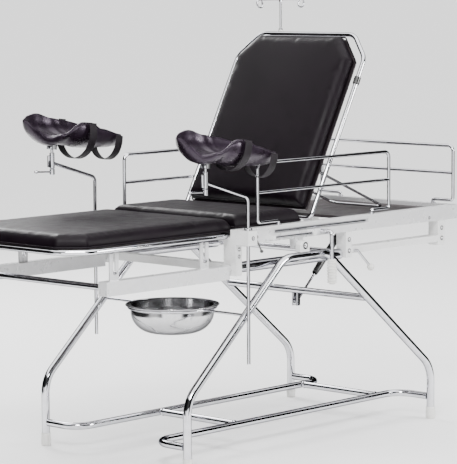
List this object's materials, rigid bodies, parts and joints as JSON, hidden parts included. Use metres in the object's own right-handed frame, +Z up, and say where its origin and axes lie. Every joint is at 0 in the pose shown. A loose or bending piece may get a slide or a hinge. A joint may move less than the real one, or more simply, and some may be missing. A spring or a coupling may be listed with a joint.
{
  "type": "examination and labour table",
  "caption": "Tubular steel examination and labour table with tilting padded top, raised backrest, pull-out leg section, knee crutches, side rails, catch bowl and drip pole.",
  "frame": {"origin": "on the floor under the middle of the table's length and width", "axes": "+X from the foot end to the head end, +Y towards the drip pole's side, +Z up"},
  "size_m": [1.95, 0.8755, 1.546],
  "materials": {
    "chrome_tube": "bright chrome-plated round steel tube and bar",
    "rail_steel": "satin white-silver coated steel box section",
    "white_bracket": "white enamelled steel plate and block",
    "vinyl": "smooth black-brown vinyl upholstery over foam, soft satin shine",
    "crutch_padding": "moulded black-brown vinyl-covered padding with a purplish shine",
    "board": "dark brown laminated board",
    "white_cap": "white plastic",
    "bowl_steel": "polished stainless steel",
    "lever_grip": "white ribbed plastic grip on a chromed bar",
    "black_steel": "gloss black painted steel"
  },
  "bodies": {
    "base": {"arch_near": "chrome_tube", "arch_far": "chrome_tube", "floor_frame": "chrome_tube", "upper_brace": "chrome_tube", "bowl_holder": "chrome_tube", "tilt_bracket_near": "white_bracket", "tilt_bracket_far": "white_bracket", "foot_cap_foot_near": "white_cap", "foot_cap_foot_far": "white_cap", "foot_cap_head_near": "white_cap", "foot_cap_head_far": "white_cap"},
    "top": {"side_rail_near": "rail_steel", "side_rail_far": "rail_steel", "cross_rail_hinge": "rail_steel", "cross_rail_gas": "rail_steel", "cross_rail_head": "rail_steel", "end_frame_foot": "white_bracket", "hanger_near": "white_bracket", "hanger_far": "white_bracket", "hanger_tie": "chrome_tube", "telescope_sleeve_near": "chrome_tube", "telescope_sleeve_far": "chrome_tube", "seat_board": "board", "seat_pad": "vinyl", "deck_board": "board", "drip_pole_tube": "chrome_tube", "crutch_socket_near": "white_bracket", "crutch_socket_far": "white_bracket"},
    "bowl": {"bowl": "bowl_steel"},
    "backrest": {"backrest_frame": "chrome_tube", "backrest_board": "board", "backrest_pad": "vinyl"},
    "prop": {"prop_stay": "chrome_tube"},
    "leg_beams": {"leg_beam_near": "rail_steel", "leg_beam_far": "rail_steel", "leg_end_tube": "chrome_tube"},
    "leg_top": {"leg_frame": "chrome_tube", "leg_board": "board", "leg_pad": "vinyl"},
    "release_lever": {"release_lever": "lever_grip"},
    "pull_rod": {"pull_rod": "chrome_tube"},
    "tilt_lever": {"tilt_lever": "lever_grip"},
    "gas_rod": {"gas_rod": "chrome_tube"},
    "gas_cylinder": {"gas_cylinder": "black_steel"},
    "guard_near": {"guard_near": "chrome_tube"},
    "guard_far": {"guard_far": "chrome_tube"},
    "guard_head": {"guard_head": "chrome_tube"},
    "drip_rod": {"drip_pole_rod": "chrome_tube"},
    "crutch_bush_near": {"crutch_bush_near": "rail_steel"},
    "crutch_pole_near": {"crutch_pole_near": "chrome_tube"},
    "socket_screw_near": {"socket_screw_near": "black_steel"},
    "barrel_screw_near": {"barrel_screw_near": "chrome_tube"},
    "crutch_post_near": {"crutch_post_near": "chrome_tube"},
    "crutch_near": {"crutch_near": "crutch_padding"},
    "crutch_bush_far": {"crutch_bush_far": "rail_steel"},
    "crutch_pole_far": {"crutch_pole_far": "chrome_tube"},
    "socket_screw_far": {"socket_screw_far": "black_steel"},
    "barrel_screw_far": {"barrel_screw_far": "chrome_tube"},
    "crutch_post_far": {"crutch_post_far": "chrome_tube"},
    "crutch_far": {"crutch_far": "crutch_padding"}
  },
  "joints": [
    {"name": "table_tilt", "type": "hinge", "parent": "base", "child": "top", "pos_m": [0.08, 0, 0.705], "axis": [0, 1, 0], "range_deg": [-6, 8]},
    {"name": "gas_rod_pivot", "type": "hinge", "parent": "base", "child": "gas_rod", "pos_m": [0.437, 0, 0.438], "axis": [0, 1, 0], "range_deg": [-7.5, 10]},
    {"name": "gas_cylinder_pivot", "type": "hinge", "parent": "top", "child": "gas_cylinder", "pos_m": [0.71, 0, 0.7], "axis": [0, 1, 0], "range_deg": [-1.5, 2]},
    {"name": "bowl_lift", "type": "slide", "parent": "base", "child": "bowl", "axis": [0, 0, 1], "range_m": [0, 0.08]},
    {"name": "backrest_recline", "type": "hinge", "parent": "top", "child": "backrest", "pos_m": [0.17, 0, 0.7903], "axis": [0, 1, 0], "range_deg": [0, 62]},
    {"name": "prop_swing", "type": "hinge", "parent": "backrest", "child": "prop", "pos_m": [0.28958, 0, 0.98155], "axis": [0, 1, 0], "range_deg": [-86, 0]},
    {"name": "leg_pull_out", "type": "slide", "parent": "top", "child": "leg_beams", "axis": [-1, 0, 0], "range_m": [0, 0.15]},
    {"name": "leg_top_lift", "type": "slide", "parent": "leg_beams", "child": "leg_top", "axis": [0, 0, 1], "range_m": [0, 0.09]},
    {"name": "release_lever_turn", "type": "hinge", "parent": "top", "child": "release_lever", "pos_m": [0.195, -0.381, 0.744], "axis": [0, 1, 0], "range_deg": [0, 25]},
    {"name": "pull_rod_slide", "type": "slide", "parent": "top", "child": "pull_rod", "axis": [1, 0, 0], "range_m": [0, 0.01]},
    {"name": "tilt_lever_turn", "type": "hinge", "parent": "top", "child": "tilt_lever", "pos_m": [0.372, -0.3323, 0.662], "axis": [0, 1, 0], "range_deg": [-15, 0]},
    {"name": "guard_near_lift", "type": "slide", "parent": "top", "child": "guard_near", "axis": [0, 0, 1], "range_m": [0, 0.12]},
    {"name": "guard_far_lift", "type": "slide", "parent": "top", "child": "guard_far", "axis": [0, 0, 1], "range_m": [0, 0.12]},
    {"name": "guard_head_lift", "type": "slide", "parent": "top", "child": "guard_head", "axis": [0, 0, 1], "range_m": [0, 0.12]},
    {"name": "drip_height", "type": "slide", "parent": "top", "child": "drip_rod", "axis": [0, 0, 1], "range_m": [0, 0.4]},
    {"name": "crutch_swivel_near", "type": "hinge", "parent": "top", "child": "crutch_bush_near", "pos_m": [-0.222, -0.37, 0.782], "axis": [0, 0, 1], "range_deg": [0, 75]},
    {"name": "crutch_height_near", "type": "slide", "parent": "crutch_bush_near", "child": "crutch_pole_near", "axis": [0, 0, 1], "range_m": [-0.04, 0.2]},
    {"name": "crutch_yaw_near", "type": "hinge", "parent": "crutch_pole_near", "child": "crutch_post_near", "pos_m": [-0.426, -0.37, 1.01064], "axis": [0, 0, 1], "range_deg": [-30, 30]},
    {"name": "crutch_tilt_near", "type": "hinge", "parent": "crutch_post_near", "child": "crutch_near", "pos_m": [-0.426, -0.37, 1.01064], "axis": [0, 1, 0], "range_deg": [-20, 15]},
    {"name": "socket_screw_turn_near", "type": "hinge", "parent": "top", "child": "socket_screw_near", "pos_m": [-0.186, -0.37, 0.757], "axis": [1, 0, 0], "range_deg": [-60, 40]},
    {"name": "barrel_screw_turn_near", "type": "hinge", "parent": "crutch_pole_near", "child": "barrel_screw_near", "pos_m": [-0.426, -0.37, 0.92404], "axis": [0, 0, 1], "range_deg": [-60, 60]},
    {"name": "crutch_swivel_far", "type": "hinge", "parent": "top", "child": "crutch_bush_far", "pos_m": [-0.222, 0.37, 0.782], "axis": [0, 0, 1], "range_deg": [-75, 0]},
    {"name": "crutch_height_far", "type": "slide", "parent": "crutch_bush_far", "child": "crutch_pole_far", "axis": [0, 0, 1], "range_m": [-0.07, 0.17]},
    {"name": "crutch_yaw_far", "type": "hinge", "parent": "crutch_pole_far", "child": "crutch_post_far", "pos_m": [-0.426, 0.37, 1.04064], "axis": [0, 0, 1], "range_deg": [-30, 30]},
    {"name": "crutch_tilt_far", "type": "hinge", "parent": "crutch_post_far", "child": "crutch_far", "pos_m": [-0.426, 0.37, 1.04064], "axis": [0, 1, 0], "range_deg": [-20, 15]},
    {"name": "socket_screw_turn_far", "type": "hinge", "parent": "top", "child": "socket_screw_far", "pos_m": [-0.186, 0.37, 0.757], "axis": [1, 0, 0], "range_deg": [-40, 60]},
    {"name": "barrel_screw_turn_far", "type": "hinge", "parent": "crutch_pole_far", "child": "barrel_screw_far", "pos_m": [-0.426, 0.37, 0.95404], "axis": [0, 0, 1], "range_deg": [-60, 60]}
  ],
  "couplings": [
    {"joint": "gas_rod_pivot", "follows": "table_tilt", "ratio": 1.23},
    {"joint": "gas_cylinder_pivot", "follows": "table_tilt", "ratio": 0.23},
    {"joint": "prop_swing", "follows": "backrest_recline", "ratio": -1.3636},
    {"joint": "pull_rod_slide", "follows": "release_lever_turn", "m_per_rad": 0.018}
  ]
}
